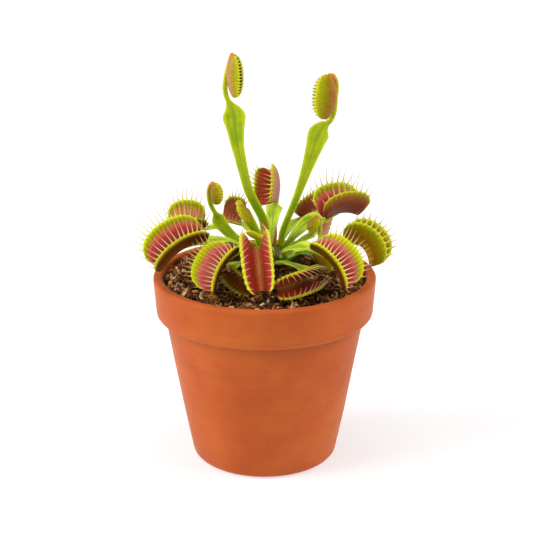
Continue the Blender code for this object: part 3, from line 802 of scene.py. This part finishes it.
def build_trap(name, leaf):
    """The two lobes as one fleshy sheet, with a thick scalloped lip and a rib for each bristle place."""
    trap = leaf["trap"]
    teeth = trap["count"]
    steps = teeth * 6
    half_round = [*SPREAD, *(-v for v in reversed(SPREAD))]
    ring = [(v, 1.0) for v in half_round[:-1]] + [(v, -1.0) for v in reversed(half_round[1:])]

    def place(s, t):
        v, face = ring[int(round(t * len(ring))) % len(ring)]
        u = -1 + 2 * s
        spread = abs(v)
        phase = (u + 1) / 2 * teeth - 0.5 + (0.25 if v > 0 else -0.25) * smooth(0.0, 0.5, spread)
        tooth = math.cos(math.tau * phase)
        lip = smooth(0.90, 1.0, spread)
        end = 1 - abs(u) ** 16
        point = lobe_point(trap, u, v)
        inner = lobe_normal(trap, u, v)
        thick = 0.26 + 0.34 * smooth(0.74, 0.93, spread) + 0.3 * math.exp(-(spread / 0.1) ** 2)
        thick *= 1 + 0.3 * tooth * smooth(0.85, 0.97, spread)
        rim = math.sqrt(max(0.0, 1 - (max(spread - 0.93, 0.0) / 0.07) ** 2))
        rib = ((0.045 if face > 0 else -0.012) * tooth * smooth(0.3, 0.6, spread)
               * smooth(1.0, 0.85, spread) * end)
        bulge = (0.6 if trap["shut"] else 0.42) * lip * (0.5 + 0.5 * tooth) ** 0.7 * end
        inward = lobe_point(trap, u, math.copysign(max(spread - 0.05, 0.01), v))
        outward = (point - inward).normalized() if spread > 0.9 else Vector((0.0, 0.0, 0.0))
        point = point + inner * (face * thick * rim * end * trap["flesh"] + rib) + outward * bulge
        rust = 0.0
        if trap["shut"]:
            hinge = 0.7 * smooth(0.2, 0.05, spread) * smooth(0.2, -0.9, u)
            rust = trap["rust"] * max(hinge, smooth(-0.86, -1.0, u))
        return point, (phase, (1 - spread) * trap["width"]), rust

    bm = skin(steps, len(ring), place, lambda s, t: 0 if t < 0.5 else 1)
    finish_piece(name + "_trap", bm, [leaf["lining"], leaf["outside"]], [name])


def bristle_template():
    """A slender cone with rings along it, its height kept as a texture value."""
    bm = bmesh.new()
    uv = bm.loops.layers.uv.new("grown")
    bmesh.ops.create_cone(bm, cap_ends=True, cap_tris=False, segments=6,
                          radius1=1.0, radius2=0.16, depth=1.0)
    sides = [e for e in bm.edges if abs(e.verts[0].co.z - e.verts[1].co.z) > 0.5]
    bmesh.ops.subdivide_edges(bm, edges=sides, cuts=4, use_grid_fill=False)
    for face in bm.faces:
        for loop in face.loops:
            loop[uv].uv = (0.5, max(loop.vert.co.z + 0.5, 0.0) ** CROWDING)
    return bm


def bristle(trap, u, side, dice):
    """Where one bristle stands on the margin, which way it leans and how it bends in."""
    along, mouth, across = trap["axes"]
    root = lobe_point(trap, u, side * 0.98)
    outward = (lobe_point(trap, u, side) - lobe_point(trap, u, side * 0.88)).normalized()
    lean = dice.uniform(-0.07, 0.07)
    # the bristles of the lower lobe turn up over the mouth
    low = lobe_point(trap, 0.0, side).z < lobe_point(trap, 0.0, -side).z
    hook = trap["hook"] + (trap["lift"] if low else 0.0)
    aim = (outward - across * (side * hook * 0.6) + along * (u * 0.28 + lean)).normalized()
    length = (trap["tooth"] * (1 - 0.5 * abs(u) ** 2.5)) * dice.uniform(0.88, 1.0)
    curl = (mouth * 0.1 - across * (side * hook)) * length * 0.45
    wide = trap["girth"] * (1 - 0.3 * abs(u) ** 3)
    flat = aim.cross(lobe_normal(trap, u, side * 0.98)).normalized()
    deep = aim.cross(flat)

    def shape(one):
        for vert in one.verts:
            x, y, z = vert.co
            s = max(z + 0.5, 0.0) ** CROWDING
            girth = 1 - 0.8 * s ** 0.9 + 1.1 * math.exp(-s / 0.1)
            shrink = girth / max(math.hypot(x, y), 1e-6)
            vert.co = (root + aim * (s * length) + curl * (s * s)
                       + flat * (x * shrink * wide) + deep * (y * shrink * wide * 0.72))

    return shape


def build_teeth(name, leaf):
    """A bristle for each rib, both sides of the mouth, set so the two rows can lock together."""
    trap = leaf["trap"]
    dice = random.Random(int(abs(trap["base"].x * 100)) + trap["count"])
    places = []
    for side in (1.0, -1.0):
        for k in range(trap["count"]):
            shift = -0.25 if side > 0 else 0.25
            u = ((k + 0.5 + shift) / trap["count"]) * 2 - 1
            places.append(bristle(trap, u, side, dice))
    bm = scatter(bristle_template(), places)
    look = BRISTLE_YOUNG if trap["shut"] else BRISTLE
    finish_piece(name + "_bristles", bm, [look], [name])


def open_leaf(name, azimuth, elevation, path, widths, base, turn, length, width, opening, fan, arch=0.12,
              teeth=1.0, face=(0, 0, 1), lining=None, outside=None, blade=None, shoulder=None, fold=0.16,
              hook=0.22, girth=0.28, lift=0.45):
    trap = {
        "base": Vector(base), "axes": trap_axes(*turn), "length": length, "width": width,
        "opening": opening, "fan": fan, "arch": arch,
        "count": max(8, round(length / 1.4)), "tooth": 7.4 * teeth, "hook": hook, "girth": girth,
        "lift": lift, "flesh": 1.0, "shut": False, "rust": 0.0,
    }
    leaf = {
        "azimuth": azimuth, "elevation": elevation, "path": path, "widths": widths, "trap": trap,
        "face": Vector(face).normalized(), "shoulder": shoulder, "drop": 3.0, "swell": 1.6,
        "lining": lining or LINING, "outside": outside or OUTSIDE, "blade": blade or BLADE_GREEN,
        "slot": "leaf", "fold": fold, "rust": 0.0,
    }
    build_petiole(name, leaf)
    build_trap(name, leaf)
    build_teeth(name, leaf)


def young_leaf(name, azimuth, elevation, path, widths, base, turn, length, width, opening, tooth,
               face, shoulder, drop=3.0, swell=1.6, outside=None, count=14, rust=1.0, arch=-0.15, hook=0.9):
    trap = {
        "base": Vector(base), "axes": trap_axes(*turn), "length": length, "width": width,
        "opening": opening, "fan": 0, "arch": arch,
        "count": count, "tooth": tooth, "hook": hook, "girth": 0.4,
        "lift": 0.0, "flesh": 0.85, "shut": True, "rust": rust,
    }
    leaf = {
        "azimuth": azimuth, "elevation": elevation, "path": path, "widths": widths, "trap": trap,
        "face": Vector(face).normalized(), "shoulder": shoulder, "drop": drop, "swell": swell,
        "lining": LINING_DEEP, "outside": outside or YOUNG_CURL, "blade": BLADE_YOUNG,
        "slot": "young_leaf", "fold": 0.1, "rust": rust,
    }
    build_petiole(name, leaf)
    build_trap(name, leaf)
    if tooth > 0:
        build_teeth(name, leaf)


def build_open_leaves():
    open_leaf("leaf_far_left", 192, 15, [(-9.6, 0.8, 98.4), (-18, -3.5, 102.5)], (2.3, 9, 3),
              (-25.8, -7.6, 103.1), (-162, -30, 4), 23.2, 15.8, (62, 32), 27, 0.15, 1.15)
    open_leaf("leaf_left_rear", 160, 12, [(-10, 12.5, 96), (-19, 17, 101.5)], (2.3, 8, 2.6),
              (-27.7, 19, 101.4), (188, 0, 9), 14.6, 12.3, (72, 32), 20, 0.16, lining=LINING_TAN)
    open_leaf("leaf_left_front", 241, 22, [(-3.5, -8, 98.5), (-7.5, -16.5, 103.5)], (2.3, 8, 2.8),
              (-11.3, -24, 103.9), (-141, -51, -10), 20.6, 13, (71, 33), 14, 0.15, 1.1,
              lining=LINING_ROSE, hook=0.5)
    open_leaf("leaf_front_centre", 272, 32, [(2.4, -8, 99.5), (0.2, -15, 102.8)], (2.3, 7.2, 2.8),
              (-3.1, -21.6, 104.5), (-83, -38, -10), 21.5, 12.8, (49, 11), 41, 0.14, 0.8,
              lining=LINING_FLESHY, hook=0.8, lift=0.0)
    open_leaf("leaf_low_right", 290, 10, [(9, -8, 93.5), (15.5, -16.5, 94)], (2.3, 8, 2.6),
              (20.4, -20.4, 91.2), (223, -2, 70.6), 20.8, 8.5, (75, 3), 50, 0.1, 0.9,
              lining=LINING_LOW, hook=0.6, lift=0.2)
    open_leaf("leaf_low_left", 218, 6, [(-6.5, -5, 92.5), (-12, -14.5, 95.2)], (2.2, 6, 2.4),
              (-15, -23.3, 95.4), (-33, -29, -79), 13.8, 5.8, (62, 28), 18, 0.05, 0.85,
              lining=LINING_OLIVE, outside=OUTSIDE_OLIVE, hook=0.5, lift=0.3)
    open_leaf("leaf_right_front", 311, 26, [(9, -5, 98), (15, -14.5, 103)], (2.3, 8, 2.8),
              (19.9, -20, 104), (-30, -44, 1), 22.6, 12.8, (66, 27), 14, 0.16, 1.2, face=(0, -0.4, 0.9),
              lining=LINING_ROSE, hook=0.4)
    open_leaf("leaf_far_right", 352, 14, [(15, 5, 95), (26.5, 4.8, 99)], (2.3, 5.5, 2.8),
              (35, 5.5, 98.8), (-23, -38, 10), 16.5, 13.6, (54, 2), 29, 0.26, 0.82, outside=OUTSIDE_OLIVE)
    open_leaf("leaf_right_rear", 26, 38, [(14, 12.5, 100.5), (20, 15, 105)], (2.3, 9, 2.8),
              (27.6, 15.8, 106), (20, 1, 2), 16, 15.4, (53, 21), 28, 0.14, 1.25, face=(0, -0.7, 0.7),
              outside=OUTSIDE_WINE)
    open_leaf("leaf_rear_centre", 92, 44, [(3.4, 18, 101), (4.2, 25.5, 107.2)], (2.3, 8, 2.6),
              (5, 30.6, 109.6), (84, 61, 48), 15, 12, (56, 14), 18, -0.12, 0.8, face=(0, -1, 0.3),
              lining=LINING_DEEP, outside=OUTSIDE_PALE)
    open_leaf("leaf_rear_left", 128, 34, [(-4, 16.5, 98), (-8, 20.8, 101)], (2.2, 5, 2.2),
              (-10.9, 23.5, 102.4), (180, 15, 37), 8.8, 11, (58, 26), 8, 0.06, 0.75, lining=LINING_ROSY)
    open_leaf("leaf_rear_right", 60, 34, [(9.5, 19, 98.5), (14, 26, 101.5)], (2.2, 6, 2.4),
              (17, 32, 101.8), (26, 30, -42), 12, 7.4, (58, 18), 25, 0.1, 0.7, lining=LINING_ROSY,
              outside=OUTSIDE_PALE)
    open_leaf("leaf_back_right", 40, 8, [(12, 18, 92.5), (19.5, 25.5, 94)], (2.3, 6, 2.4),
              (24, 29, 96), (50, 64, 150), 11, 9, (45, 15), 25, 0.1, 0.7, outside=OUTSIDE_PALE)
    open_leaf("leaf_low_far_right", 332, 8, [(13, 0.5, 93), (17, -2, 96)], (2.2, 5, 2.2),
              (20.5, -4.5, 96), (-40, -50, 60), 9, 7, (45, 5), 25, 0.1, 0.5,
              lining=LINING_OLIVE, outside=OUTSIDE_OLIVE, blade=BLADE_DARK)


def build_young_leaves():
    young_leaf("leaf_tall_left", 125, 62,
               [(-0.6, 9.6, 108), (-6.9, 10, 121.2), (-10.5, 10.8, 135.3), (-12.2, 11.5, 144.2),
                (-13.5, 12, 155.4), (-15, 12.3, 159.8), (-16.6, 12.4, 163.3), (-17.3, 12.5, 167.3),
                (-16.7, 12.4, 172.6), (-15.6, 12, 177.1), (-14.1, 11, 181.5)],
               (4.2, 10.6, 2.4), (-13.9, 9.6, 182.8), (0, -89, -32), 19.2, 8.3, (64, -40), 2.2,
               (0, -1, 0.1), 0.67, 7, 5.5, YOUNG_LEFT)
    young_leaf("leaf_tall_right", 25, 60,
               [(8.5, 8, 104), (14.5, 8.5, 119.3), (18.6, 9.5, 131), (21.5, 10.5, 139.9), (23.8, 11.2, 147),
                (26, 11.6, 150.5), (29.1, 12, 152.9), (30.7, 12, 157.6), (31, 12, 163), (31.4, 11.6, 168.4),
                (30.1, 11, 172.5)],
               (3, 9.8, 2.6), (28.4, 9.4, 173.9), (240, -82, -60), 19.7, 11.2, (60, -44), 3.4,
               (0, -1, 0.1), 0.635, 6.5, 3.4, YOUNG_RIGHT, arch=-0.2, hook=0.45)
    young_leaf("leaf_curled_left", 172, 42,
               [(-11.4, 5.5, 99.5), (-18.3, 7, 105.2), (-22.5, 8, 112.3), (-24.4, 8, 117),
                (-24.8, 8, 122), (-23.4, 7.6, 125.2)],
               (2.6, 6.4, 2.2), (-22.6, 5.6, 126.2), (-60, -84, 40), 9.8, 6.4, (66, -56), 0.0,
               (0.2, -1, 0.4), 0.55, count=8)
    young_leaf("leaf_curled_centre", 190, 56,
               [(-3.2, 3.6, 103), (-6, 1.8, 109), (-9.6, 0.4, 115.2), (-11.4, -1.2, 119)],
               (3, 5.6, 3), (-10.9, -3.6, 119.2), (-10, -52, -138), 9, 5.2, (68, -56), 0.0,
               (0, -1, 0.3), 0.7, count=8, rust=0.4)
    young_leaf("leaf_curled_right", 13, 10,
               [(13.5, 9.6, 92.2), (19.8, 10.8, 93.2), (24.2, 10.6, 97.4), (25, 10, 103),
                (24.6, 9.7, 107.4)],
               (2.3, 4.6, 2.4), (23.1, 8, 109.9), (-159, -53, 147), 7, 5, (66, -56), 0.0,
               (0, 0, 1), 0.6, count=8)
    young_leaf("leaf_curled_front", 246, 50,
               [(-1.2, -3.8, 102), (0.2, -9.5, 106), (0.9, -13.6, 107)],
               (2.4, 4, 1.8), (-0.6, -15.5, 106.3), (-161, 31, 46), 9, 3.8, (66, -56), 0.0,
               (0, 0, 1), 0.7, count=8)


def build_shoot(name, azimuth, elevation, length, width, lean):
    """A leaf that has not opened: a tapered, grooved finger that bends over toward its lean."""
    start, out = crown_point(azimuth, elevation)
    lean = Vector(lean).normalized()
    side = lean.cross(Vector((0, -1, 0.2))).normalized()
    up = side.cross(lean)

    def place(s, t):
        point = start + (out * (1 - s) + lean * s) * ((length + 0.8) * s)
        reach = width * 0.5 * (0.72 + 0.5 * s - 1.15 * s * s) * (1 - s ** 8)
        turn = t * math.tau
        groove = 1 - 0.18 * math.exp(-((turn - math.pi / 2) / 0.4) ** 2)
        rust = smooth(0.3, 1.0, s)
        point = point + side * (math.cos(turn) * reach) + up * (math.sin(turn) * reach * 0.8 * groove)
        return point, (math.cos(turn), s * length), rust

    bm = skin(20, 12, place)
    finish_piece(name + "_shoot", bm, [SHOOT], [name])


def build_crown():
    """The bulb that the leaves grow from, with its root running down into the mix."""
    profile = [(0.0, -52.0), (1.6, -50.0), (2.6, -30.0), (4.0, -14.0)]
    for step in range(-4, 10):
        angle = step * math.pi / 20
        profile.append((CROWN_RADIUS * math.cos(angle), CROWN_RADIUS * math.sin(angle)))
    profile.append((0.0, CROWN_RADIUS))
    bm = spun(profile, 48, False)
    bmesh.ops.translate(bm, vec=CROWN, verts=bm.verts)
    bm.loops.layers.uv.new("grown")
    finish_piece("crown_bulb", bm, [SHADED_ROOTSTOCK], ["rhizome"])


# ---------------------------------------------------------------- the studio


def build_studio():
    floor = bmesh.new()
    bmesh.ops.create_grid(floor, x_segments=1, y_segments=1, size=15.0)
    mesh = bpy.data.meshes.new("studio_floor")
    floor.to_mesh(mesh)
    floor.free()
    # a white sheet lit from behind, so only the deepest shadow shows on it
    mat, _ = new_material("backlit_white_sheet", {
        "Base Color": colour("#bcbcbc"), "Roughness": 0.9, "Specular IOR Level": 0.1,
        "Emission Color": (1.0, 1.0, 1.0, 1.0), "Emission Strength": 0.55})
    mesh.materials.append(mat)
    piece = bpy.data.objects.new("studio_floor", mesh)
    bpy.context.scene.collection.objects.link(piece)

    world = bpy.data.worlds.new("studio_air")
    bpy.context.scene.world = world
    world.use_nodes = True
    world.node_tree.nodes["Background"].inputs["Color"].default_value = (1.0, 1.0, 1.0, 1.0)
    world.node_tree.nodes["Background"].inputs["Strength"].default_value = 0.2

    # broad, far lights: one to each side, which lift the flanks of the pot, and one overhead
    for name, place, power, spread in (
        ("left_softbox", (-1.0, -0.25, 0.65), 2.6, 40.0),
        ("right_softbox", (1.0, -0.10, 0.60), 1.8, 40.0),
        ("top_softbox", (-0.10, 0.0, 1.0), 1.15, 50.0),
    ):
        light = bpy.data.lights.new(name, "SUN")
        light.angle = math.radians(spread)
        light.energy = power
        lamp = bpy.data.objects.new(name, light)
        lamp.location = place
        lamp.rotation_euler = (-Vector(place)).to_track_quat("-Z", "Y").to_euler()
        bpy.context.scene.collection.objects.link(lamp)


def build_camera():
    tilt = math.radians(18.9)
    away = 0.650
    aside = 0.0009
    aim_height = 0.089
    lens = bpy.data.cameras.new("camera")
    lens.lens = 98.2
    lens.sensor_width = 36.0
    lens.clip_start = 0.01
    camera = bpy.data.objects.new("camera", lens)
    camera.location = (aside, -away * math.cos(tilt), aim_height + away * math.sin(tilt))
    camera.rotation_euler = (math.pi / 2 - tilt, 0.0, 0.0)
    bpy.context.scene.collection.objects.link(camera)
    bpy.context.scene.camera = camera


build_camera()
build_pot()
build_mix()
build_flakes()
build_crumbs()
build_crown()
build_open_leaves()
build_young_leaves()
build_shoot("bud_tall", 150, 84, 12.5, 2.1, (-0.22, 0, 1))
build_shoot("bud_middle", 225, 68, 9.5, 2.3, (-0.2, -0.15, 1))
build_shoot("bud_right", 330, 78, 10, 2, (0.1, 0, 1))
build_studio()
bpy.context.scene.view_settings.view_transform = "Standard"

bpy.context.view_layer.update()
